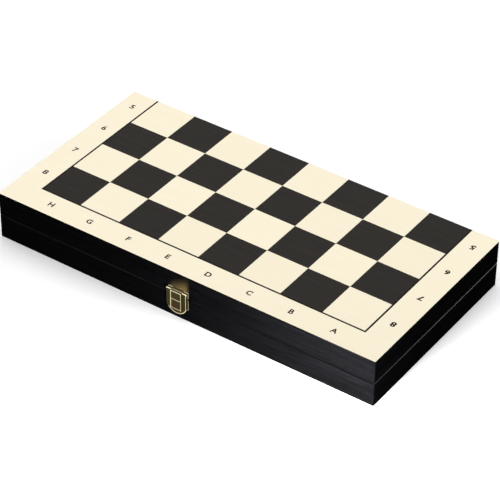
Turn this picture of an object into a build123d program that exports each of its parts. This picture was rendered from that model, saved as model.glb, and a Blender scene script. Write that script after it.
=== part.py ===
from build123d import *
import os

# A folding chess and backgammon case, closed, in millimetres. The origin is the centre of the base,
# +Z is up, the clasp faces -Y and the hinges lie along X at the back.

# The playing field
square = 43.0           # one square of the chessboard
files = 8               # squares along the hinge side
ranks = 4               # squares from the hinge to the front, on each half
border = 28.0           # pale border at the left, the right and the front
line_width = 1.8        # dark line let in along the edge of the field
veneer = 0.6            # thickness of every veneer, outside and inside
joint = 0.05            # hairline joint round a square of veneer

# The two trays
tray_height = 24.0      # from a playing face to the rim; the two rims meet at the seam
core = 3.4              # board between the two veneers of a face
rail = 10.0             # thickness of the four rails
corner_break = 0.5      # bevel of the upright corners of the case
rim_break = 0.6         # bevel along the outer edge of a rim
inner_break = 0.3       # bevel along the inner edge of a rim

# Backgammon points
points_a_side = 6       # points along a short wall
point_length = 150.0
point_gap = 1.0         # strip of the ground between two points at the wall

# Butt hinges
hinge_spacing = 230.0   # from the middle of one hinge to the middle of the other
hinge_length = 40.0
leaf_depth = 8.8        # from the hinge axis to the inner edge of a leaf
leaf_thickness = 1.0
hinge_standoff = 0.25   # the axis lies this far behind the back wall
knuckle_wall = 1.05     # brass round a hinge pin
hinge_pin_radius = 1.0
knuckles = 3            # on each hinge, turn about on the two leaves
knuckle_gap = 0.2       # between two knuckles along the pin
barrel_clearance = 0.2  # round the knuckles, in the rails and in the other leaf
running = 0.04          # round every pin, on the radius
screw_radius = 1.0
screw_length = 9.0
screw_spacing = 27.0    # between the two screws of a leaf
screw_slot = 0.5

# Clasp on the front
clasp_width = 21.2
sheet = 0.5             # brass sheet of the clasp
edge_width = 0.45       # of the bevel along the front edges of the sheet
edge_depth = 0.2
clasp_pin_radius = 0.45
plate_clearance = 0.15  # between the flap's ears and the plate behind them
ear_width = 4.7         # of the two ears that carry the flap on its pin
ear_gap = 0.15          # between an ear and the middle knuckle
flap_rise = 7.2         # from the seam up to the top of the flap
flap_height = 24.5
flap_end_height = 7.6   # height of the round end of the flap
flap_corner_round = 3.0  # where its straight sides meet the round end
flap_bend = 0.7         # outside of the bend between the flap and its ears
flap_clearance = 0.3    # between the middle knuckle and the inside of the flap
window_width = 10.7     # between the middles of the two upright ribs
window_drop = 18.9      # from the top of the flap down to the middle of the lowest rib
window_top_drop = 0.3   # from the top of the flap down to the open top of the window
window_press = 0.85     # how far the window is pressed out of the flap
crossbar_drop = 9.2     # from the top of the flap down to the middle of the crossbar
rib = 0.9               # width of the ribs on the window
rib_height = 0.3
shoulder_rise = 0.4     # from the top of the flap up to the plate's shoulders behind its ears
plate_margin = 0.6      # from the seam to the edge of either plate
plate_round = 0.8
catch_height = 10.9     # of the plate on the lower tray
catch_nose_width = 8.0
catch_nose_drop = 3.0   # from the top of the catch plate down to the nose
catch_nose_height = 4.2
catch_nose_tip = 1.0    # blunt end of the nose
nose_clearance = 0.25   # between the nose and the inside of the flap
nail_radius = 0.55
nail_head_radius = 1.2
nail_head_height = 0.5
nail_length = 7.0       # under the head
nail_spacing = 15.6     # between the two nails of a plate
seat_clearance = 0.05   # round a nail or a screw

# What follows from these
length = files * square + 2 * border
width = ranks * square + border
inner_length = length - 2 * rail
inner_width = width - 2 * rail
seam = tray_height
panel = veneer + core
rail_height = tray_height - panel
hinge_y = width / 2 + hinge_standoff
knuckle_radius = hinge_pin_radius + running + knuckle_wall
knuckle_length = (hinge_length - (knuckles - 1) * knuckle_gap) / knuckles
hinge_centres = (-hinge_spacing / 2, hinge_spacing / 2)
screw_y = hinge_y - (leaf_depth + knuckle_radius + barrel_clearance) / 2
screw_head_radius = screw_radius + leaf_thickness
wall = width / 2
clasp_knuckle_radius = clasp_pin_radius + running + sheet
clasp_pin_out = sheet + plate_clearance + clasp_knuckle_radius
flap_inside = clasp_pin_out + clasp_knuckle_radius + flap_clearance
flap_outside = flap_inside + sheet
flap_top = seam + flap_rise
clasp_pin_z = flap_top - clasp_knuckle_radius
catch_top = seam - plate_margin
clasp_plate_bottom = seam + plate_margin
catch_nail_height = catch_top - catch_height / 2
clasp_nail_height = (clasp_plate_bottom + clasp_pin_z - clasp_knuckle_radius) / 2


class Tray:
    """One half of the case: where its playing face lies and which way its rim is from there."""

    def __init__(self, name, face, way, dark_parity):
        self.name = name
        self.face = face
        self.way = way
        self.dark_parity = dark_parity

    def level(self, depth):
        """The height of what lies this deep under the playing face."""
        return self.face + self.way * depth

    def plane(self, depth):
        return Plane.XY.offset(self.level(depth))


lower_tray = Tray("lower", 0, 1, 1)
upper_tray = Tray("upper", 2 * tray_height, -1, 0)


def save(piece, name):
    piece.part.label = name
    export_step(piece.part, f"parts/{name}.step")


def draw_case_outline():
    """The case seen from above, with its upright corners bevelled."""
    x, y = length / 2, width / 2
    xb, yb = x - corner_break, y - corner_break
    Polygon((-xb, -y), (xb, -y), (x, -yb), (x, yb), (xb, y), (-xb, y), (-x, yb), (-x, -yb))


def strip_outline(side, outer, inner, back_mitre):
    """A strip along one side of the case, seen from above, between two distances in from the edge.
    Its ends are cut at 45 degrees, or square at the back where it has no mitre there."""
    xo, yo = length / 2 - outer, width / 2 - outer
    xi, yi = length / 2 - inner, width / 2 - inner
    if side == "front":
        return [(-xo, -yo), (xo, -yo), (xi, -yi), (-xi, -yi)]
    if side == "back":
        return [(-xo, yo), (xo, yo), (xi, yi), (-xi, yi)]
    turn = -1 if side == "left" else 1
    ends = (yi, yo) if back_mitre else (width / 2, width / 2)
    return [(turn * xo, -yo), (turn * xi, -yi), (turn * xi, ends[0]), (turn * xo, ends[1])]


# Outside faces: squares, line and border


def square_centres(parity):
    """The middles of the squares of one colour, counted from the front left."""
    return [
        (-length / 2 + border + (i + 0.5) * square, -width / 2 + border + (j + 0.5) * square)
        for i in range(files)
        for j in range(ranks)
        if (i + j) % 2 == parity
    ]


def build_squares(tray, colour, parity):
    """The squares of one colour. Those along the edge give way to the dark line."""
    with BuildPart() as squares:
        with BuildSketch(tray.plane(0)):
            with Locations(*square_centres(parity)):
                Rectangle(square - joint, square - joint)
            with Locations((0, width / 2)):
                Rectangle(
                    files * square - line_width - joint,
                    ranks * square - line_width / 2 - joint / 2,
                    align=(Align.CENTER, Align.MAX),
                    mode=Mode.INTERSECT,
                )
        extrude(amount=veneer, dir=(0, 0, tray.way))
    save(squares, f"{tray.name}_{colour}_squares")


def build_inlay_line(tray):
    """Three strings of dark veneer along the edge of the field, mitred at the two front corners."""
    outer, inner = border - line_width / 2, border + line_width / 2
    with BuildPart() as line:
        with BuildSketch(tray.plane(0)):
            for side in ("left", "front", "right"):
                Polygon(*strip_outline(side, outer, inner, False))
            for turn in (-1, 1):
                with Locations((turn * (length / 2 - border), -width / 2 + border)):
                    Rectangle(2 * line_width, joint, rotation=-turn * 45, mode=Mode.SUBTRACT)
        extrude(amount=veneer, dir=(0, 0, tray.way))
    save(line, f"{tray.name}_inlay_line")


def build_border(tray, side):
    """One strip of the pale border, bevelled with the corner of the case."""
    with BuildPart() as strip:
        with BuildSketch(tray.plane(0)):
            draw_case_outline()
            outline = strip_outline(side, 0, border - line_width / 2, False)
            Polygon(*outline, mode=Mode.INTERSECT)
        extrude(amount=veneer, dir=(0, 0, tray.way))
    save(strip, f"{tray.name}_border_{side}")


def build_core(tray):
    """The board that both veneers of a face are glued to. It lies over the rails."""
    with BuildPart() as board:
        with BuildSketch(tray.plane(veneer)):
            draw_case_outline()
        extrude(amount=core, dir=(0, 0, tray.way))
    save(board, f"{tray.name}_board_core")


# Inside floors: ground and points


def point_places(parity):
    """Where the points of one colour stand on the short walls, and which way they run."""
    pitch = inner_width / points_a_side
    return [
        (turn * inner_length / 2, -inner_width / 2 + (j + 0.5) * pitch, -turn)
        for turn in (-1, 1)
        for j in range(points_a_side)
        if (j + (turn + 1) // 2) % 2 == parity
    ]


def draw_points(places, mode):
    """Triangles with their feet on the short walls."""
    half_foot = (inner_width / points_a_side - point_gap) / 2
    for x, y, way in places:
        Polygon((x, y - half_foot), (x + way * point_length, y), (x, y + half_foot), mode=mode)


def build_ground(tray):
    """The pale veneer of the inside floor, with the points cut out of it."""
    with BuildPart() as ground:
        with BuildSketch(tray.plane(panel)):
            Rectangle(inner_length, inner_width)
            draw_points(point_places(0) + point_places(1), Mode.SUBTRACT)
        extrude(amount=veneer, dir=(0, 0, tray.way))
    save(ground, f"{tray.name}_ground")


def build_points(tray, colour, parity):
    with BuildPart() as points:
        with BuildSketch(tray.plane(panel)):
            draw_points(point_places(parity), Mode.ADD)
        extrude(amount=veneer, dir=(0, 0, tray.way))
    save(points, f"{tray.name}_{colour}_points")


# Rails


def rail_frame(tray):
    """The four rails in one, before the mitres part them, with bevelled edges at the rim."""
    with BuildPart() as frame:
        with BuildSketch(tray.plane(panel)):
            draw_case_outline()
            Rectangle(inner_length, inner_width, mode=Mode.SUBTRACT)
        extrude(amount=rail_height, dir=(0, 0, tray.way))
        rim_order = Axis.Z if tray.way == 1 else -Axis.Z
        chamfer(frame.faces().sort_by(rim_order)[-1].outer_wire().edges(), rim_break)
        chamfer(frame.faces().sort_by(rim_order)[-1].inner_wires()[0].edges(), inner_break)
    return frame.part


def hinge_screw_places(tray, centres=hinge_centres):
    """Where the screws go in at the rim. Their local -Z runs into the rail."""
    turn = 0 if tray.way == 1 else 180
    return [
        Location((centre + side * screw_spacing / 2, screw_y, seam), (turn, 0, 0))
        for centre in centres
        for side in (-1, 1)
    ]


def nail_places(out, height):
    """Where a plate's two nails go in at the front. Their local -Z runs into the wall."""
    return [Location((side * nail_spacing / 2, -wall - out, height), (90, 0, 0)) for side in (-1, 1)]


def cut_mortises(tray):
    """Cuts the beds of both leaves, the hollow for the barrels and the pilot holes of the screws."""
    bed_length = hinge_length + 2 * barrel_clearance
    with Locations(*[(centre, hinge_y, seam) for centre in hinge_centres]):
        Box(
            bed_length,
            leaf_depth + barrel_clearance,
            leaf_thickness,
            align=(Align.CENTER, Align.MAX, Align.MAX if tray.way == 1 else Align.MIN),
            mode=Mode.SUBTRACT,
        )
        Cylinder(knuckle_radius + barrel_clearance, bed_length, rotation=(0, 90, 0), mode=Mode.SUBTRACT)
    with Locations(*hinge_screw_places(tray)):
        Hole(screw_radius + seat_clearance, screw_length + seat_clearance)


def build_rails(tray, nail_height):
    """The four rails. The back one carries the hinges and the front one a plate of the clasp."""
    frame = rail_frame(tray)
    for side in ("front", "back", "left", "right"):
        with BuildPart() as piece:
            add(frame)
            with BuildSketch(tray.plane(panel)):
                Polygon(*strip_outline(side, 0, rail, True))
            extrude(amount=rail_height, dir=(0, 0, tray.way), mode=Mode.INTERSECT)
            if side == "back":
                cut_mortises(tray)
            if side == "front":
                with Locations(*nail_places(0, nail_height)):
                    Hole(nail_radius + seat_clearance, nail_length - sheet + seat_clearance)
        save(piece, f"{tray.name}_{side}_rail")


# Butt hinges


def knuckle_places(centre, own):
    """The middles of the knuckles of one leaf: the even ones or the odd ones along the pin."""
    first = centre - (hinge_length - knuckle_length) / 2
    pitch = knuckle_length + knuckle_gap
    return [(first + k * pitch, hinge_y, seam) for k in range(knuckles) if k % 2 == own]


def build_leaf(tray, side, centre, own):
    """A leaf lies in its bed, level with the rim, and its knuckles go round the pin."""
    with BuildPart() as leaf:
        with BuildSketch(Plane.XY.offset(seam)):
            with Locations((centre, hinge_y)):
                Rectangle(hinge_length, leaf_depth, align=(Align.CENTER, Align.MAX))
        extrude(amount=leaf_thickness, dir=(0, 0, -tray.way))
        with Locations(*knuckle_places(centre, 1 - own)):
            Cylinder(
                knuckle_radius + barrel_clearance,
                knuckle_length + 2 * knuckle_gap,
                rotation=(0, 90, 0),
                mode=Mode.SUBTRACT,
            )
        with Locations(*knuckle_places(centre, own)):
            Cylinder(knuckle_radius, knuckle_length, rotation=(0, 90, 0))
        with Locations((centre, hinge_y, seam)):
            Cylinder(hinge_pin_radius + running, hinge_length, rotation=(0, 90, 0), mode=Mode.SUBTRACT)
        with Locations(*hinge_screw_places(tray, [centre])):
            Cone(
                screw_radius + seat_clearance,
                screw_head_radius + seat_clearance,
                leaf_thickness,
                align=(Align.CENTER, Align.CENTER, Align.MAX),
                mode=Mode.SUBTRACT,
            )
    save(leaf, f"{side}_hinge_{tray.name}_leaf")


def build_hinge_pin(side, centre):
    with BuildPart() as pin:
        with Locations((centre, hinge_y, seam)):
            Cylinder(hinge_pin_radius, hinge_length, rotation=(0, 90, 0))
    save(pin, f"{side}_hinge_pin")


def countersunk_screw():
    """One screw with the top of its head at the origin and its core down. The head fills the leaf."""
    with BuildPart() as screw:
        with BuildSketch(Plane.XZ):
            Polygon(
                (0, 0),
                (screw_head_radius, 0),
                (screw_radius, -leaf_thickness),
                (screw_radius, -screw_length),
                (0, -screw_length),
            )
        revolve(axis=Axis.Z)
        Box(2 * screw_head_radius, screw_slot, leaf_thickness, mode=Mode.SUBTRACT)
    return screw.part


def build_hinge_screws(tray):
    screw = countersunk_screw()
    with BuildPart() as screws:
        with Locations(*hinge_screw_places(tray)):
            add(screw)
    save(screws, f"{tray.name}_hinge_screws")


# Clasp


def round_nail():
    """One nail with the underside of its flat head at the origin and its shank down."""
    with BuildPart() as nail:
        Cylinder(nail_head_radius, nail_head_height, align=(Align.CENTER, Align.CENTER, Align.MIN))
        Cylinder(nail_radius, nail_length, align=(Align.CENTER, Align.CENTER, Align.MAX))
    return nail.part


def build_nails(name, height):
    nail = round_nail()
    with BuildPart() as nails:
        with Locations(*nail_places(sheet, height)):
            add(nail)
    save(nails, name)


def build_catch_plate():
    """The plate on the lower tray, with the pressed nose that the flap goes over."""
    nose_top = catch_top - catch_nose_drop
    nose_out = flap_inside + window_press - nose_clearance
    with BuildPart() as plate:
        with BuildSketch(Plane.XZ.offset(wall)):
            with Locations((0, catch_nail_height)):
                RectangleRounded(clasp_width, catch_height, plate_round)
        extrude(amount=sheet)
        front = plate.faces().sort_by(Axis.Y)[0]
        chamfer(front.edges(), edge_width, edge_depth, reference=front)
        with BuildSketch(Plane.YZ):
            Polygon(
                (-wall - sheet / 2, nose_top),
                (-wall - sheet, nose_top),
                (-wall - nose_out, nose_top - catch_nose_height + catch_nose_tip),
                (-wall - nose_out, nose_top - catch_nose_height),
                (-wall - sheet / 2, nose_top - catch_nose_height),
            )
        extrude(amount=catch_nose_width / 2, both=True)
        with Locations(*nail_places(sheet, catch_nail_height)):
            Hole(nail_radius + seat_clearance, sheet)
    save(plate, "catch_plate")


standing = (Align.CENTER, Align.MIN)


def draw_knuckle(reach):
    """A knuckle seen along the pin. Its leaf runs off level at the top, this far out from the wall."""
    with Locations((-wall - clasp_pin_out, clasp_pin_z)):
        Circle(clasp_knuckle_radius)
    with Locations((-wall - (clasp_pin_out + reach) / 2, flap_top)):
        Rectangle(abs(clasp_pin_out - reach), sheet, align=(Align.CENTER, Align.MAX))


def build_clasp_plate():
    """The plate on the upper tray. Its middle bends out and curls round the pin, between the ears of
    the flap, and its shoulders stand behind them."""
    tongue_width = clasp_width - 2 * ear_width - 2 * ear_gap
    plate_height = flap_top + shoulder_rise - clasp_plate_bottom
    with BuildPart() as plate:
        with BuildSketch(Plane.XZ.offset(wall)):
            with Locations((0, clasp_plate_bottom + plate_height / 2)):
                RectangleRounded(clasp_width, plate_height, plate_round)
        extrude(amount=sheet)
        front = plate.faces().sort_by(Axis.Y)[0]
        chamfer(front.edges(), edge_width, edge_depth, reference=front)
        with BuildSketch(Plane.XZ.offset(wall)):
            with Locations((0, flap_top)):
                Rectangle(tongue_width, 2 * shoulder_rise, align=standing)
        extrude(amount=sheet, mode=Mode.SUBTRACT)
        with BuildSketch(Plane.YZ):
            draw_knuckle(0)
        extrude(amount=tongue_width / 2, both=True)
        with Locations((0, -wall - clasp_pin_out, clasp_pin_z)):
            Cylinder(clasp_pin_radius + running, clasp_width, rotation=(0, 90, 0), mode=Mode.SUBTRACT)
        with Locations(*nail_places(sheet, clasp_nail_height)):
            Hole(nail_radius + seat_clearance, sheet)
    save(plate, "clasp_plate")


def build_clasp_pin():
    with BuildPart() as pin:
        with Locations((0, -wall - clasp_pin_out, clasp_pin_z)):
            Cylinder(clasp_pin_radius, clasp_width, rotation=(0, 90, 0))
    save(pin, "clasp_pin")


def build_clasp_flap():
    """The stamped flap: a sheet with a round end and a window with ribs pressed out of it. Its top
    bends back in two ears that curl round the pin."""
    half = clasp_width / 2
    flap_bottom = flap_top - flap_height
    round_start = flap_bottom + flap_end_height
    window_half = (window_width + rib) / 2
    window_bottom = flap_top - window_drop - rib / 2
    window_height = flap_top - window_top_drop - window_bottom
    with BuildPart() as flap:
        with BuildSketch(Plane.XZ.offset(wall + flap_inside)) as face:
            with BuildLine():
                corners = ((-half, round_start), (-half, flap_top), (half, flap_top), (half, round_start))
                sides = Polyline(*corners)
                ThreePointArc(sides @ 1, (0, flap_bottom), sides @ 0)
            make_face()
            fillet(face.vertices().group_by(Axis.Y)[0], flap_corner_round)
        extrude(amount=sheet)
        front = flap.faces().sort_by(Axis.Y)[0]
        chamfer(front.edges().sort_by(Axis.Z)[:-1], edge_width, edge_depth, reference=front)
        with BuildSketch(Plane.XZ.offset(wall + flap_outside)):
            with Locations((0, window_bottom)):
                Rectangle(2 * window_half, window_height, align=standing)
        extrude(amount=window_press)
        with BuildSketch(Plane.XZ.offset(wall + flap_outside + window_press)):
            with Locations((0, window_bottom)):
                Rectangle(2 * window_half, window_height, align=standing)
            with Locations((0, window_bottom + rib)):
                Rectangle(2 * (window_half - rib), window_height - 2 * rib, align=standing, mode=Mode.SUBTRACT)
            with Locations((0, flap_top - crossbar_drop)):
                Rectangle(window_width, rib)
        extrude(amount=rib_height)
        chamfer(flap.faces().sort_by(Axis.Y)[0].edges(), rib_height / 2)
        with BuildSketch(Plane.XZ.offset(wall + flap_inside)):
            with Locations((0, window_bottom + sheet)):
                Rectangle(2 * (window_half - sheet), window_height, align=standing)
        extrude(amount=window_press, mode=Mode.SUBTRACT)
        with Locations((0, -wall - flap_inside, flap_top)):
            Box(2 * (half - ear_width), 2 * sheet, 2 * window_top_drop, mode=Mode.SUBTRACT)
        for side in (-1, 1):
            with BuildSketch(Plane.YZ.offset(side * (clasp_width - ear_width) / 2)):
                draw_knuckle(flap_inside)
            extrude(amount=ear_width / 2, both=True)
        with Locations((0, -wall - clasp_pin_out, clasp_pin_z)):
            Cylinder(clasp_pin_radius + running, clasp_width, rotation=(0, 90, 0), mode=Mode.SUBTRACT)
        bends = flap.edges().filter_by(Axis.X).group_by(Axis.Z)[-1].sort_by(Axis.Y)[:2]
        fillet(bends, flap_bend)
    save(flap, "clasp_flap")


os.makedirs("parts", exist_ok=True)
for tray, nail_height in ((lower_tray, catch_nail_height), (upper_tray, clasp_nail_height)):
    build_squares(tray, "dark", tray.dark_parity)
    build_squares(tray, "light", 1 - tray.dark_parity)
    build_inlay_line(tray)
    for side in ("left", "front", "right"):
        build_border(tray, side)
    build_core(tray)
    build_ground(tray)
    build_points(tray, "dark", 1 - tray.dark_parity)
    build_points(tray, "red", tray.dark_parity)
    build_rails(tray, nail_height)
    build_hinge_screws(tray)
for side, centre in zip(("left", "right"), hinge_centres):
    build_leaf(lower_tray, side, centre, 0)
    build_leaf(upper_tray, side, centre, 1)
    build_hinge_pin(side, centre)
build_clasp_plate()
build_nails("clasp_plate_nails", clasp_nail_height)
build_clasp_pin()
build_clasp_flap()
build_catch_plate()
build_nails("catch_plate_nails", catch_nail_height)
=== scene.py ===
"""Looks of a folding chess and backgammon case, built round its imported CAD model."""

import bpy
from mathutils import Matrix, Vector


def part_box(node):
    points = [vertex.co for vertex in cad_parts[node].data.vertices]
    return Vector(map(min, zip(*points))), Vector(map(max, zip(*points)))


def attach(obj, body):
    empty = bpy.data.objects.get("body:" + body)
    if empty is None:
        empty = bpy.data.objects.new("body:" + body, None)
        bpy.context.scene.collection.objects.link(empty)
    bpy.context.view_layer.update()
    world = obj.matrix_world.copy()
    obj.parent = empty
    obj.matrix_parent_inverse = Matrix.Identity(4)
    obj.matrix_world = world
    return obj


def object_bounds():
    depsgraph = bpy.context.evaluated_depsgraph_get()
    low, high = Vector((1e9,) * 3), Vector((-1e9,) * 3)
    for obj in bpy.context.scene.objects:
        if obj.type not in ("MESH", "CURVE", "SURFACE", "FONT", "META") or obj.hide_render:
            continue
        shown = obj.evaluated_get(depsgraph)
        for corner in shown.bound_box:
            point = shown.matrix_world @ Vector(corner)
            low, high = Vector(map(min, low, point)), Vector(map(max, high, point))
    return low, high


bl_info = {
    "name": "Chess and Backgammon Case",
    "version": (1, 0, 0),
    "blender": (4, 5, 0),
    "location": "3D Viewport > Sidebar > Game Case",
    "description": "Finishes the woods and the brass of a folding game case and prints its coordinates",
    "category": "Object",
}

import math

import bpy
from mathutils import Matrix, Vector

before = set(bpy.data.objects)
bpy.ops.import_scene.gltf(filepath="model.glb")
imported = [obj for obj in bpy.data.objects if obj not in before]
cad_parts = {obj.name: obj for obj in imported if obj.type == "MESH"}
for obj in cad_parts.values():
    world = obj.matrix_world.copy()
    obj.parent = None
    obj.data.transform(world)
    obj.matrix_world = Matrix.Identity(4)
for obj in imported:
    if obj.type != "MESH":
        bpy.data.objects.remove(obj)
cad_low, cad_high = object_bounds()

MM = 0.001
TRAYS = ("lower", "upper")

# Places that the finishes and the print are worked out from
half_length, half_width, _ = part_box("upper_board_core")[1]
flap_low, flap_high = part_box("clasp_flap")
top_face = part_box("upper_border_front")[1].z
bottom_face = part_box("lower_border_front")[0].z
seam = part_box("upper_front_rail")[0].z
files = "HGFEDCBA"  # from left to right
square = 43 * MM
border = half_length - len(files) / 2 * square

# Sizes of the model that its boxes don't give
corner_bevel = 0.5 * MM
rim_bevel = 0.6 * MM
sheet = 0.5 * MM
sheet_bevel = 0.2 * MM  # its depth from the face of the sheet
relief = 1.15 * MM  # from the margin of the flap out to its ribs
flap_bend = 0.7 * MM
flap_end_radius = 11.2 * MM
rib_inside = 4.8 * MM  # from the middle of the clasp to the window beside its left rib
ear_inside = 5.9 * MM  # from the middle of the clasp to its ears
skin = 0.02 * MM  # how far a mask reaches past the face that it covers

# The brown glow painted over the clasp as its reflection in the lacquer. It lies on the front wall alone.
front_wall = -half_width + 2 * MM
reflection_middle = 0.5 * MM
reflection_near, reflection_far = 6 * MM, 11 * MM  # to either side it is whole as far as near, and gone at far
reflection_above, reflection_below = 13 * MM, 4 * MM  # where it is gone, over and under the top of the flap
reflection_slant = 0.48  # how steeply it slants up to the right

# Painted highlights in bands on the round end and the right side of the flap, the edges that catch the light
end_band = (1.0 * MM, 0.25 * MM)  # from the outline in to either edge of the band
side_band = (0.95 * MM, 0.5 * MM)
end_fade = (5.2 * MM, 7.2 * MM)  # over the foot of the flap: the end band goes out between these
side_fade = (5.2 * MM, 5.6 * MM)  # and the side band comes in between these
highlight_slant = 0.18  # how steeply both lines slant up to the right


def linear(colour):
    """An sRGB hex colour as the linear RGBA that the shaders take."""
    channels = [int(colour[i : i + 2], 16) / 255 for i in (1, 3, 5)]
    return tuple(c / 12.92 if c <= 0.04045 else ((c + 0.055) / 1.055) ** 2.4 for c in channels) + (1.0,)


def colour_property(name, description, colour):
    return bpy.props.FloatVectorProperty(
        name=name, description=description, subtype="COLOR", size=4, min=0, max=1, default=linear(colour)
    )


def length_property(name, description, length):
    return bpy.props.FloatProperty(name=name, description=description, unit="LENGTH", default=length)


def power_property(name, description, watts):
    return bpy.props.FloatProperty(name=name, description=description, unit="POWER", default=watts)


class CaseWoodSettings(bpy.types.PropertyGroup):
    """Colours and grain of the woods and their finishes."""

    maple_light: colour_property("Maple Light", "Early wood of the pale veneer", "#FEF5DB")
    maple_dark: colour_property("Maple Dark", "Late wood of the pale veneer", "#FBF1D7")
    stain_light: colour_property("Stain Light", "Pores of the dark stained veneer", "#25211D")
    stain_dark: colour_property("Stain Dark", "Ground of the dark stained veneer", "#1C1916")
    line: colour_property("Line", "Dyed strip let in round the field", "#0E0A08")
    red_light: colour_property("Red Light", "Early wood of the red-brown veneer", "#9A4A2E")
    red_dark: colour_property("Red Dark", "Late wood of the red-brown veneer", "#6E2F1E")
    lacquer: colour_property("Lacquer", "Black lacquer of the rails", "#030303")
    lacquer_grain: colour_property("Lacquer Grain", "Grain that tells through the lacquer", "#0A0A0C")
    # Painted shade: darker lacquer on the seam bevels, standing in for the shade in the seam
    lacquer_seam_shade: colour_property("Lacquer Rim", "Lacquer on the bevels along the seam", "#010101")
    # Painted reflection: the brown glow of the clasp in the lacquer over it
    lacquer_painted_reflection: colour_property("Lacquer Rubbed", "Lacquer rubbed thin over the clasp", "#50442A")
    ring_spacing: length_property("Ring Spacing", "Distance between two growth rings", 3.2 * MM)
    fibre_width: length_property("Fibre Width", "Width of a fibre streak", 0.35 * MM)
    maple_tint: bpy.props.FloatProperty(
        name="Maple Tint", description="How much paler or darker a square of maple is", default=0.015
    )
    stain_tint: bpy.props.FloatProperty(
        name="Stain Tint", description="How much paler or darker a stained square is", default=0.05
    )


class CaseBrassSettings(bpy.types.PropertyGroup):
    """Colours of the brass."""

    # Also the colour of the painted highlights on the edges of the clasp
    polished: colour_property("Polished", "Brass where it is rubbed bright", "#E0D2AA")
    patina_olive: colour_property("Patina Olive", "Darkened brass high on the flap", "#343015")
    patina_brown: colour_property("Patina Brown", "Darkened brass low on the flap", "#392C13")
    hinge: colour_property("Hinge", "Brass of the hinges and their screws", "#C2A766")


class CasePrintSettings(bpy.types.PropertyGroup):
    """Coordinates printed round the playing field."""

    ink: colour_property("Ink", "Ink of the coordinates", "#100C0A")
    ink_soaked: colour_property("Ink Soaked", "Ink that soaked into the wood", "#1E1814")
    letter_height: length_property("Letter Height", "Height of the letters of the files", 6.0 * MM)
    digit_height: length_property("Digit Height", "Height of the digits of the ranks", 6.4 * MM)
    letter_stretch: bpy.props.FloatProperty(
        name="Letter Stretch", description="Width of the letters against the plain ones", default=1.06
    )
    digit_stretch: bpy.props.FloatProperty(
        name="Digit Stretch", description="Width of the digits against the plain ones", default=1.18
    )
    letter_swell: length_property("Letter Swell", "How much bolder than plain letters", 0.18 * MM)
    left_swell: length_property("Left Swell", "How much bolder the left digits are", 0.15 * MM)
    right_swell: length_property("Right Swell", "How much bolder the right digits are", 0.26 * MM)
    thickness: length_property("Ink Thickness", "Height of the ink over the wood", 0.02 * MM)


class CaseStageSettings(bpy.types.PropertyGroup):
    """Floor, lamps and camera."""

    floor_colour: colour_property("Floor", "Colour of the floor", "#FAFAFA")
    floor_lift: bpy.props.FloatProperty(
        name="Floor Lift", description="White added to the floor where it is seen", default=0.16
    )
    key_power: power_property("Key", "Power of the large lamp overhead", 19.4)
    front_power: power_property("Front", "Power of the lamp at the front left", 4.5)
    back_power: power_property("Back", "Power of the small lamp at the back right", 5.3)
    low_power: power_property("Low", "Power of the low lamp before the right end", 3.0)
    sky: bpy.props.FloatProperty(name="Sky", description="Strength of the even light all round", default=0.3)
    lens: bpy.props.FloatProperty(name="Lens", description="Focal length in millimetres", default=167.7)


# Shader nodes and patterns


def add_node(tree, kind, inputs, **settings):
    """Adds a shader node of this kind with its settings and links. Its inputs are a dict by name, or a
    list in the order of the sockets in use. Each is a value, a socket, or a node, which stands for its
    first output in use."""
    node = tree.nodes.new(f"ShaderNode{kind}")
    for name, setting in settings.items():
        setattr(node, name, setting)
    sockets = node.inputs
    if isinstance(inputs, list):
        sockets = [socket for socket in node.inputs if socket.enabled]
        inputs = dict(enumerate(inputs))
    for key, source in inputs.items():
        if isinstance(source, bpy.types.Node):
            source = next(output for output in source.outputs if output.enabled)
        if isinstance(source, bpy.types.NodeSocket):
            tree.links.new(source, sockets[key])
        else:
            sockets[key].default_value = source
    return node


def new_material(name):
    """A material, its cleared tree, and the place on the piece, which all its patterns read."""
    material = bpy.data.materials.new(name)
    material.use_nodes = True
    tree = material.node_tree
    tree.nodes.clear()
    return material, tree, add_node(tree, "TexCoord", {}).outputs["Object"]


def finish_material(tree, inputs):
    """Closes the tree with the surface that these inputs describe."""
    add_node(tree, "OutputMaterial", {"Surface": add_node(tree, "BsdfPrincipled", inputs)})


def within(tree, value, low, high):
    """A mask that is 1 where the value lies between low and high, and 0 elsewhere."""
    return add_node(tree, "Math", [value, (low + high) / 2, (high - low) / 2], operation="COMPARE")


def all_of(tree, mask, *others):
    """The masks multiplied: 1 where all of them are 1."""
    for other in others:
        mask = add_node(tree, "Math", [mask, other], operation="MULTIPLY")
    return mask


def highest(tree, value, *others):
    """The highest of the values: for masks 1 where any of them is 1."""
    for other in others:
        value = add_node(tree, "Math", [value, other], operation="MAXIMUM")
    return value


def seen_directly(tree):
    """1 for what the camera sees itself, or in a reflection or through glass."""
    rays = add_node(tree, "LightPath", {}).outputs
    return highest(tree, rays["Is Camera Ray"], rays["Is Glossy Ray"], rays["Is Transmission Ray"])


def sheared(tree, axes, slant):
    """The height on the piece, less a share of how far right it is: level lines slant up to the right."""
    rise = add_node(tree, "Math", [axes["X"], slant], operation="MULTIPLY")
    return add_node(tree, "Math", [axes["Z"], rise], operation="SUBTRACT")


def streaks(tree, place, along, length, width, detail):
    """Wood streaks from 0 to 1, of this length and width in metres."""
    scale = [1 / width] * 3
    scale["XY".index(along)] = 1 / length
    stretched = add_node(tree, "Mapping", {"Vector": place, "Scale": scale})
    return add_node(
        tree, "TexNoise", {"Vector": stretched, "Scale": 1.0, "Detail": detail, "Roughness": 0.6}
    )


def veneer_pieces(tree, place):
    """A random number and a random shift for each square that the veneer is cut to."""
    from_back = (0, -half_width / square, 0)
    cells = add_node(tree, "Mapping", {"Vector": place, "Scale": [1 / square] * 3, "Location": from_back})
    return add_node(tree, "TexWhiteNoise", [add_node(tree, "VectorMath", [cells], operation="FLOOR")])


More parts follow.
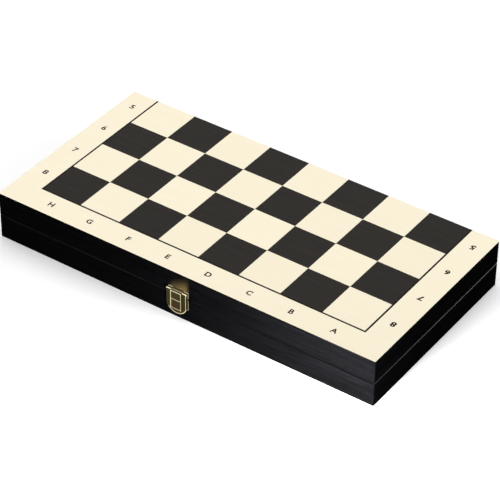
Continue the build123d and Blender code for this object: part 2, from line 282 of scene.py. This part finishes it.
def sliced_veneer(tree, place, light, dark, tint_range):
    """Colour, roughness and bump of a sliced veneer, with rings and fibres. With a tint range it is cut
    to squares, each from another place in the wood and with a tint of its own."""
    woods = bpy.context.scene.case_woods
    tint = 1.0
    if tint_range:
        piece = veneer_pieces(tree, place)
        place = add_node(tree, "VectorMath", [piece.outputs["Color"], place], operation="ADD")
        tint = add_node(tree, "MapRange", [piece, 0, 1, 1 - tint_range, 1 + tint_range])
    rings = streaks(tree, place, "X", length=60 * MM, width=woods.ring_spacing, detail=2)
    fibres = streaks(tree, place, "X", length=14 * MM, width=woods.fibre_width, detail=3)
    figure = add_node(tree, "Math", [rings, fibres], operation="ADD")
    figure = add_node(tree, "MapRange", [figure, 0.7, 1.3])
    colour = add_node(tree, "Mix", [figure, light, dark], data_type="RGBA")
    toned = add_node(tree, "HueSaturation", {"Value": tint, "Color": colour})
    roughness = add_node(tree, "MapRange", [fibres, 0.3, 0.7, 0.38, 0.5])
    bump = add_node(tree, "Bump", {"Height": fibres, "Strength": 0.12, "Distance": 0.03 * MM})
    return toned, roughness, bump


# Materials of the woods


def varnished_veneer(name, light, dark, tint_range=0.0):
    """Sliced veneer under satin varnish, which gives every wood here the same soft sheen."""
    material, tree, place = new_material(name)
    colour, roughness, bump = sliced_veneer(tree, place, light, dark, tint_range)
    finish_material(
        tree,
        {
            "Base Color": colour,
            "Roughness": roughness,
            "Normal": bump,
            "IOR": 1.45,
            "Specular IOR Level": 0.1,
        },
    )
    return material


def maple_veneer(name="maple_veneer_satin_varnished", tint_range=0.0):
    """Sliced maple: pale cream, with hardly any figure."""
    woods = bpy.context.scene.case_woods
    return varnished_veneer(name, woods.maple_light, woods.maple_dark, tint_range)


def stained_veneer(name="dark_stained_veneer_satin_varnished", tint_range=0.0):
    """Veneer stained nearly black, with pores a little paler than the rest."""
    woods = bpy.context.scene.case_woods
    return varnished_veneer(name, woods.stain_light, woods.stain_dark, tint_range)


def red_brown_veneer():
    """Mahogany-coloured veneer of every other point, with a figure that shows."""
    woods = bpy.context.scene.case_woods
    return varnished_veneer("red_brown_veneer_satin_varnished", woods.red_light, woods.red_dark)


def maple_border():
    """The same maple for the border, with its edge lacquered black together with the rail."""
    woods = bpy.context.scene.case_woods
    material, tree, place = new_material("maple_veneer_with_black_edge")
    colour, roughness, bump = sliced_veneer(tree, place, woods.maple_light, woods.maple_dark, 0.0)
    # How far a place lies past the edges of the case, and past its bevelled corners
    aside = add_node(tree, "VectorMath", [place], operation="ABSOLUTE")
    past_edge = (half_length - skin, half_width - skin, 0)
    past = add_node(tree, "VectorMath", [aside, past_edge], operation="SUBTRACT")
    past = add_node(tree, "SeparateXYZ", [past]).outputs
    past_both = add_node(tree, "Math", [past["X"], past["Y"]], operation="ADD")
    past_corner = add_node(tree, "Math", [past_both, corner_bevel - skin], operation="ADD")
    farthest = highest(tree, past["X"], past["Y"], past_corner)
    edge = add_node(tree, "Math", [farthest, 0.0], operation="GREATER_THAN")
    finish_material(
        tree,
        {
            "Base Color": add_node(tree, "Mix", [edge, colour, woods.lacquer], data_type="RGBA"),
            "Roughness": roughness,
            "Normal": bump,
            "IOR": 1.45,
            "Specular IOR Level": add_node(tree, "MapRange", [edge, 0, 1, 0.15, 0]),
        },
    )
    return material


def black_line():
    """Dyed black veneer strip of the line, nearly flat and hardly shining."""
    woods = bpy.context.scene.case_woods
    material, tree, place = new_material("black_dyed_veneer_strip")
    fibres = streaks(tree, place, "X", length=14 * MM, width=woods.fibre_width, detail=2)
    colour = add_node(tree, "Mix", [fibres, woods.line, woods.stain_dark], data_type="RGBA")
    finish_material(tree, {"Base Color": colour, "Roughness": 0.5, "Specular IOR Level": 0.05})
    return material


def painted_reflection_patch(tree, axes):
    """A mask for the painted reflection of the clasp on the front wall: 1 just over the clasp, and fading
    all round.
    """
    aside = add_node(tree, "Math", [axes["X"], reflection_middle], operation="SUBTRACT")
    aside = add_node(tree, "Math", [aside], operation="ABSOLUTE")
    beside = add_node(tree, "MapRange", [aside, reflection_far, reflection_near])
    slanted = sheared(tree, axes, reflection_slant)
    above = add_node(tree, "MapRange", [slanted, flap_high.z + reflection_above, flap_high.z])
    below = add_node(tree, "MapRange", [axes["Z"], flap_high.z - reflection_below, flap_high.z])
    on_front = add_node(tree, "Math", [axes["Y"], front_wall], operation="LESS_THAN")
    return all_of(tree, above, above, below, beside, on_front)


def black_lacquer(along, rim_shine):
    """Hardwood brushed with black lacquer: nearly black, with the grain telling through. It shines a
    little on the bevels along the seam, which are painted darker as the shade in the seam, and has
    a brown glow painted over the clasp as the clasp's reflection."""
    woods = bpy.context.scene.case_woods
    material, tree, place = new_material(f"black_lacquered_hardwood_grain_along_{along.lower()}")
    axes = add_node(tree, "SeparateXYZ", [place]).outputs
    grain = streaks(tree, place, along, length=55 * MM, width=1.6 * MM, detail=3)
    pores = streaks(tree, place, along, length=16 * MM, width=woods.fibre_width, detail=2)
    telling = add_node(tree, "Math", [grain, pores], operation="ADD")
    telling = add_node(tree, "MapRange", [telling, 0.75, 1.3])
    colour = add_node(tree, "Mix", [telling, woods.lacquer, woods.lacquer_grain], data_type="RGBA")
    # Painted reflection: the clasp's brown glow in the lacquer over it
    reflection_mask = painted_reflection_patch(tree, axes)
    walls = add_node(tree, "Mix", [reflection_mask, colour, woods.lacquer_painted_reflection], data_type="RGBA")
    # Painted shade: the seam bevels are darker, for the shade in the seam; their shine is real
    rim = within(tree, axes["Z"], seam - rim_bevel, seam + rim_bevel)
    finish_material(
        tree,
        {
            "Base Color": add_node(tree, "Mix", [rim, walls, woods.lacquer_seam_shade], data_type="RGBA"),
            "Roughness": add_node(tree, "MapRange", [grain, 0.3, 0.7, 0.22, 0.34]),
            "Normal": add_node(tree, "Bump", {"Height": pores, "Strength": 0.2, "Distance": 0.03 * MM}),
            "IOR": 1.5,
            "Specular IOR Level": add_node(tree, "Math", [rim, rim_shine], operation="MULTIPLY"),
        },
    )
    return material


# Materials of the brass. Heights on the clasp are shares, from 0 at the foot of the flap to 1 at its top.


def rib_wear_and_shade(tree, axes, height):
    """The ribs round the window, rubbed bright: the left one and the top most, and the others painted less
    bright as shade.
    """
    top_rib, less_bright = 0.9, 0.6
    on_ribs = add_node(tree, "Math", [axes["Y"], flap_low.y + 2 * skin], operation="LESS_THAN")
    right_of_left_rib = add_node(tree, "Math", [axes["X"], -rib_inside], operation="GREATER_THAN")
    # Painted shade: the right and lower ribs are kept less bright
    shaded_ribs = all_of(tree, right_of_left_rib, within(tree, height, 0, top_rib))
    return all_of(tree, on_ribs, add_node(tree, "MapRange", [shaded_ribs, 0, 1, 1.0, less_bright]))


def rubbed_bends(tree, axes, height):
    """The bends where the flap turns back into its ears."""
    margin, bends_foot = flap_low.y + relief, 0.95
    at_top = add_node(tree, "Math", [height, bends_foot], operation="GREATER_THAN")
    return all_of(tree, within(tree, axes["Y"], margin + skin, margin + flap_bend), at_top)


def outline_highlight(tree, axes):
    """Painted highlights along the round end and the right side of the flap, the edges that catch the light.
    """
    foot, side, margin = flap_low.z, flap_high.x, flap_low.y + relief
    slanted = sheared(tree, axes, highlight_slant)
    in_front = add_node(tree, "CombineXYZ", {"X": axes["X"], "Z": axes["Z"]})
    end_middle = (0, 0, foot + flap_end_radius)
    out = add_node(tree, "VectorMath", [in_front, end_middle], operation="DISTANCE")
    on_end = within(tree, out, flap_end_radius - end_band[0], flap_end_radius - end_band[1])
    end_whole = add_node(tree, "MapRange", [slanted, foot + end_fade[1], foot + end_fade[0]])
    on_side = within(tree, axes["X"], side - side_band[0], side - side_band[1])
    side_whole = add_node(tree, "MapRange", [slanted, foot + side_fade[0], foot + side_fade[1]])
    bands = highest(tree, all_of(tree, on_end, end_whole), all_of(tree, on_side, side_whole))
    return all_of(tree, bands, within(tree, axes["Y"], margin - skin, margin + sheet_bevel))


def flap_wear_and_highlights(tree, axes, height):
    """How bright the flap is: rubbed on its ribs and bends, with painted shade on some ribs and painted
    highlights on its outline.
    """
    ribs, bends = rib_wear_and_shade(tree, axes, height), rubbed_bends(tree, axes, height)
    return highest(tree, ribs, bends, outline_highlight(tree, axes))


def plate_wear_and_highlights(tree, axes, height):
    """How bright the plates are: their bevel, rubbed, with a painted highlight at its low end; their
    shoulders, painted bright as highlights; and the rest of their top a little, as painted light."""
    face, shoulders_foot = -half_width - sheet, 0.97
    on_bevel = within(tree, axes["Y"], face + skin, face + sheet_bevel)
    bevel = all_of(tree, on_bevel, add_node(tree, "MapRange", [height, 0.22, 0.3, 1.0, 0.5]))
    at_top = add_node(tree, "Math", [height, shoulders_foot], operation="GREATER_THAN")
    aside = add_node(tree, "Math", [axes["X"]], operation="ABSOLUTE")
    behind_ears = add_node(tree, "Math", [aside, ear_inside], operation="GREATER_THAN")
    rest_of_top = add_node(tree, "MapRange", [height, 0.85, 0.95, 0.0, 0.25])
    return highest(tree, bevel, all_of(tree, at_top, behind_ears), rest_of_top)


def antiqued_brass(name, find_bright):
    """Stamped brass, darkened and then rubbed: bright where it is touched and where highlights are painted,
    brown and olive elsewhere.
    """
    brass = bpy.context.scene.case_brass
    material, tree, place = new_material(name)
    axes = add_node(tree, "SeparateXYZ", [place]).outputs
    height = add_node(tree, "MapRange", [axes["Z"], flap_low.z, flap_high.z])
    turning = add_node(tree, "MapRange", [height, 0.45, 0.6])
    patina = add_node(tree, "Mix", [turning, brass.patina_brown, brass.patina_olive], data_type="RGBA")
    # Rubbed brass together with painted highlights and painted shade
    rubbed = find_bright(tree, axes, height)
    mottle_size = 3 * MM
    mottle = add_node(tree, "TexNoise", {"Vector": place, "Scale": 1 / mottle_size, "Detail": 3})
    finish_material(
        tree,
        {
            "Base Color": add_node(tree, "Mix", [rubbed, patina, brass.polished], data_type="RGBA"),
            "Metallic": 1.0,
            "Roughness": add_node(tree, "MapRange", [mottle, 0.3, 0.7, 0.28, 0.4]),
        },
    )
    return material


def polished_brass():
    """Rolled brass, polished and a little dulled in clouds by handling."""
    brass = bpy.context.scene.case_brass
    material, tree, place = new_material("brass_rolled_and_polished")
    cloud_size = 4 * MM
    clouds = add_node(tree, "TexNoise", {"Vector": place, "Scale": 1 / cloud_size, "Detail": 4})
    dulled = add_node(tree, "MapRange", [clouds, 0.4, 0.75, 0.0, 0.25])
    rolled = streaks(tree, place, "X", length=12 * MM, width=0.2 * MM, detail=2)
    finish_material(
        tree,
        {
            "Base Color": add_node(tree, "Mix", [dulled, brass.hinge, brass.patina_brown], data_type="RGBA"),
            "Metallic": 1.0,
            "Roughness": add_node(tree, "MapRange", [rolled, 0.3, 0.7, 0.18, 0.32]),
        },
    )
    return material


# Materials of the print and the floor


def printing_ink():
    """Screen printing ink, dark brown and a little uneven where it soaked into the wood."""
    settings = bpy.context.scene.case_print
    material, tree, place = new_material("screen_printing_ink")
    fibres = streaks(tree, place, "X", length=2 * MM, width=0.2 * MM, detail=2)
    soaked = add_node(tree, "MapRange", [fibres, 0.5, 0.8])
    colour = add_node(tree, "Mix", [soaked, settings.ink, settings.ink_soaked], data_type="RGBA")
    finish_material(tree, {"Base Color": colour, "Roughness": 0.55, "Specular IOR Level": 0.05})
    return material


def floor_paint():
    """Pale even floor. It keeps the shadow, and the eye and reflections see it whiter: a little near
    the case, and wholly white far from it."""
    stage = bpy.context.scene.case_stage
    near, far = 0.6, 2.0
    material, tree, place = new_material("pale_studio_floor")
    away = add_node(tree, "VectorMath", [place], operation="LENGTH")
    lift = add_node(tree, "MapRange", [away, near, far, stage.floor_lift, 1.0])
    lift = all_of(tree, lift, seen_directly(tree))
    glow = add_node(tree, "Emission", {"Color": (1, 1, 1, 1), "Strength": lift})
    diffuse = add_node(tree, "BsdfDiffuse", {"Color": stage.floor_colour})
    add_node(tree, "OutputMaterial", {"Surface": add_node(tree, "AddShader", [diffuse, glow])})
    return material


def give(material, *nodes):
    """Puts one material on these CAD nodes."""
    for name in nodes:
        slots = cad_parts[name].data.materials
        slots.clear()
        slots.append(material)


# Operators, one for each piece or group of like pieces


class CASE_OT_rails(bpy.types.Operator):
    """Lacquer the rails and the board cores"""

    bl_idname = "case.rails"
    bl_label = "Lacquer the Rails"

    def execute(self, context):
        along_x, along_y = black_lacquer("X", rim_shine=0.025), black_lacquer("Y", rim_shine=0.2)
        for tray in TRAYS:
            give(along_x, f"{tray}_front_rail", f"{tray}_back_rail", f"{tray}_board_core")
            give(along_y, f"{tray}_left_rail", f"{tray}_right_rail")
        return {"FINISHED"}


class CASE_OT_squares(bpy.types.Operator):
    """Finish the squares, the dark line and the border of both playing faces"""

    bl_idname = "case.squares"
    bl_label = "Finish the Playing Faces"

    def execute(self, context):
        woods = context.scene.case_woods
        light = maple_veneer("maple_veneer_in_squares", woods.maple_tint)
        dark = stained_veneer("dark_stained_veneer_in_squares", woods.stain_tint)
        line = black_line()
        border_wood = maple_border()
        for tray in TRAYS:
            give(light, f"{tray}_light_squares")
            give(dark, f"{tray}_dark_squares")
            give(line, f"{tray}_inlay_line")
            give(border_wood, *[f"{tray}_border_{side}" for side in ("left", "front", "right")])
        return {"FINISHED"}


class CASE_OT_floors(bpy.types.Operator):
    """Finish the inside floors and their points"""

    bl_idname = "case.floors"
    bl_label = "Finish the Inside"

    def execute(self, context):
        ground, dark, red = maple_veneer(), stained_veneer(), red_brown_veneer()
        for tray in TRAYS:
            give(ground, f"{tray}_ground")
            give(dark, f"{tray}_dark_points")
            give(red, f"{tray}_red_points")
        return {"FINISHED"}


class CASE_OT_hinges(bpy.types.Operator):
    """Finish the hinges and their screws"""

    bl_idname = "case.hinges"
    bl_label = "Finish the Hinges"

    def execute(self, context):
        brass = polished_brass()
        for side in ("left", "right"):
            give(brass, f"{side}_hinge_lower_leaf", f"{side}_hinge_upper_leaf", f"{side}_hinge_pin")
        give(brass, *[f"{tray}_hinge_screws" for tray in TRAYS])
        return {"FINISHED"}


class CASE_OT_clasp(bpy.types.Operator):
    """Finish the clasp, its pin, its plates and their nails"""

    bl_idname = "case.clasp"
    bl_label = "Finish the Clasp"

    def execute(self, context):
        give(antiqued_brass("brass_flap_antiqued", flap_wear_and_highlights), "clasp_flap")
        give(antiqued_brass("brass_plates_antiqued", plate_wear_and_highlights), "clasp_plate", "catch_plate")
        give(polished_brass(), "clasp_plate_nails", "clasp_pin", "catch_plate_nails")
        return {"FINISHED"}


def print_sign(sign, height, stretch, swell, place, turn):
    """One letter or digit as a closed mesh of this height, lying at its place."""
    settings = bpy.context.scene.case_print
    bpy.ops.object.select_all(action="DESELECT")
    bpy.ops.object.text_add()
    text = bpy.context.object
    text.data.body = sign
    text.data.size = height
    text.data.resolution_u = 6
    text.data.offset = swell
    bpy.ops.object.convert(target="MESH")
    bpy.ops.object.origin_set(type="ORIGIN_GEOMETRY", center="BOUNDS")
    glyph = bpy.context.object
    scale = height / glyph.dimensions.y
    bpy.ops.transform.resize(value=(stretch * scale, scale, 1))
    bpy.ops.object.mode_set(mode="EDIT")
    bpy.ops.mesh.select_all(action="SELECT")
    bpy.ops.mesh.remove_doubles(threshold=0.001 * MM)
    bpy.ops.mesh.extrude_region_move(TRANSFORM_OT_translate={"value": (0, 0, settings.thickness)})
    bpy.ops.mesh.select_all(action="SELECT")
    bpy.ops.mesh.normals_make_consistent(inside=False)
    bpy.ops.object.mode_set(mode="OBJECT")
    glyph.matrix_world = Matrix.Translation(place) @ turn @ glyph.matrix_world.to_3x3().to_4x4()
    bpy.ops.object.transform_apply(location=True, rotation=True, scale=True)
    return glyph


def join_signs(glyphs, name, body, ink):
    """Makes one piece of a row of printed signs."""
    bpy.ops.object.select_all(action="DESELECT")
    for glyph in glyphs:
        glyph.select_set(True)
    bpy.context.view_layer.objects.active = glyphs[0]
    bpy.ops.object.join()
    piece = bpy.context.object
    piece.name = name
    piece.data.materials.clear()
    piece.data.materials.append(ink)
    bpy.ops.object.origin_set(type="ORIGIN_CURSOR")
    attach(piece, body)


class CASE_OT_coordinates(bpy.types.Operator):
    """Print the letters of the files and the digits of the ranks on both playing faces"""

    bl_idname = "case.coordinates"
    bl_label = "Print the Coordinates"

    def execute(self, context):
        settings = context.scene.case_print
        letter_sizes = settings.letter_height, settings.letter_stretch, settings.letter_swell
        digit_sizes = settings.digit_height, settings.digit_stretch
        ink = printing_ink()
        half_turn = Matrix.Rotation(math.pi, 4, "Z")
        # The digits at one side of each face stand the other way round, for the player across
        for tray, face, ranks, flip, turned_side in (
            ("upper", top_face, "5678", Matrix.Identity(4), "right"),
            ("lower", bottom_face, "4321", Matrix.Rotation(math.pi, 4, "Y"), "left"),
        ):
            body = f"{tray}_tray"
            letters = []
            for i, letter in enumerate(files):
                place = Vector((-half_length + border + (i + 0.5) * square, -half_width + border / 2, face))
                letters.append(print_sign(letter, *letter_sizes, place, flip))
            join_signs(letters, f"{tray}_letters", body, ink)
            for side, x, swell in (
                ("left", -half_length + border / 2, settings.left_swell),
                ("right", half_length - border / 2, settings.right_swell),
            ):
                turn = flip @ half_turn if side == turned_side else flip
                digits = []
                for j, digit in enumerate(ranks):
                    place = Vector((x, half_width - (j + 0.5) * square, face))
                    digits.append(print_sign(digit, *digit_sizes, swell, place, turn))
                join_signs(digits, f"{tray}_{side}_digits", body, ink)
        return {"FINISHED"}


def lay_floor():
    """A wide floor just under the case."""
    floor_size, floor_drop = 12, 0.05 * MM
    bpy.ops.object.select_all(action="DESELECT")
    bpy.ops.mesh.primitive_plane_add(size=floor_size, location=(0, 0, cad_low.z - floor_drop))
    floor = bpy.context.object
    floor.name = "studio_floor"
    floor.data.materials.append(floor_paint())


def hang_lamps(stage):
    """Hangs the square lamps, each with its power, its size, its place and the point it aims at."""
    middle = (0, 0, 0)
    for name, power, size, place, aim in (
        ("key_lamp", stage.key_power, 1.6, (-0.2, 0.3, 1.8), middle),
        ("front_lamp", stage.front_power, 0.45, (-0.72, -0.98, 1.04), middle),
        ("back_lamp", stage.back_power, 0.22, (0.98, 1.04, 0.72), middle),
        ("low_lamp", stage.low_power, 0.04, (0.19, -0.24, 0.03), (0.19, 0, -0.14)),
    ):
        turn = (Vector(aim) - Vector(place)).to_track_quat("-Z", "Y").to_euler()
        bpy.ops.object.light_add(type="AREA", location=place, rotation=turn)
        lamp = bpy.context.object
        lamp.name = name
        lamp.data.size = size
        lamp.data.energy = power


def light_evenly(scene, stage):
    """A world that lights the case softly and looks white itself."""
    world = bpy.data.worlds.new("even_studio_light")
    world.use_nodes = True
    scene.world = world
    tree = world.node_tree
    tree.nodes.clear()
    strength = add_node(tree, "MapRange", [seen_directly(tree), 0, 1, stage.sky, 1.0])
    sky = add_node(tree, "Background", {"Color": (1, 1, 1, 1), "Strength": strength})
    add_node(tree, "OutputWorld", {"Surface": sky})


def place_camera(scene, stage):
    """Looks at the case as the photograph does. Its place was solved from the corners of the squares."""
    azimuth, elevation, roll = math.radians(34.84), math.radians(37.68), math.radians(0.508)
    target, distance = Vector((30.67, -37.17, 48.0)) * MM, 2.0176
    tilt = Matrix.Rotation(math.pi / 2 - elevation, 4, "X")
    turn = Matrix.Rotation(azimuth, 4, "Z") @ tilt @ Matrix.Rotation(roll, 4, "Z")
    place = target + turn.to_3x3() @ Vector((0, 0, distance))
    bpy.ops.object.camera_add(location=place, rotation=turn.to_euler())
    camera = bpy.context.object
    camera.data.lens = stage.lens
    camera.data.sensor_width = 36.0
    scene.camera = camera


class CASE_OT_stage(bpy.types.Operator):
    """Set up the floor, the lamps and the camera"""

    bl_idname = "case.stage"
    bl_label = "Set up the Stage"

    def execute(self, context):
        scene = context.scene
        lay_floor()
        hang_lamps(scene.case_stage)
        light_evenly(scene, scene.case_stage)
        place_camera(scene, scene.case_stage)
        scene.view_settings.view_transform = "Standard"
        return {"FINISHED"}


class CASE_PT_panel(bpy.types.Panel):
    """Lists the settings and the operators"""

    bl_idname = "CASE_PT_panel"
    bl_label = "Chess and Backgammon Case"
    bl_space_type = "VIEW_3D"
    bl_region_type = "UI"
    bl_category = "Game Case"

    def draw(self, context):
        for group_name in SETTINGS:
            group = getattr(context.scene, group_name)
            box = self.layout.box()
            for name in group.__annotations__:
                box.prop(group, name)
        for operator in OPERATORS:
            self.layout.operator(operator.bl_idname)


SETTINGS = {
    "case_woods": CaseWoodSettings,
    "case_brass": CaseBrassSettings,
    "case_print": CasePrintSettings,
    "case_stage": CaseStageSettings,
}
OPERATORS = (
    CASE_OT_rails,
    CASE_OT_squares,
    CASE_OT_floors,
    CASE_OT_hinges,
    CASE_OT_clasp,
    CASE_OT_coordinates,
    CASE_OT_stage,
)


def register():
    for cls in (*SETTINGS.values(), *OPERATORS, CASE_PT_panel):
        bpy.utils.register_class(cls)
    for name, cls in SETTINGS.items():
        setattr(bpy.types.Scene, name, bpy.props.PointerProperty(type=cls))


def unregister():
    for name in SETTINGS:
        delattr(bpy.types.Scene, name)
    for cls in reversed((*SETTINGS.values(), *OPERATORS, CASE_PT_panel)):
        bpy.utils.unregister_class(cls)


def main():
    register()
    bpy.ops.case.rails()
    bpy.ops.case.squares()
    bpy.ops.case.floors()
    bpy.ops.case.hinges()
    bpy.ops.case.clasp()
    bpy.ops.case.coordinates()
    bpy.ops.case.stage()


if __name__ == "__main__":
    main()
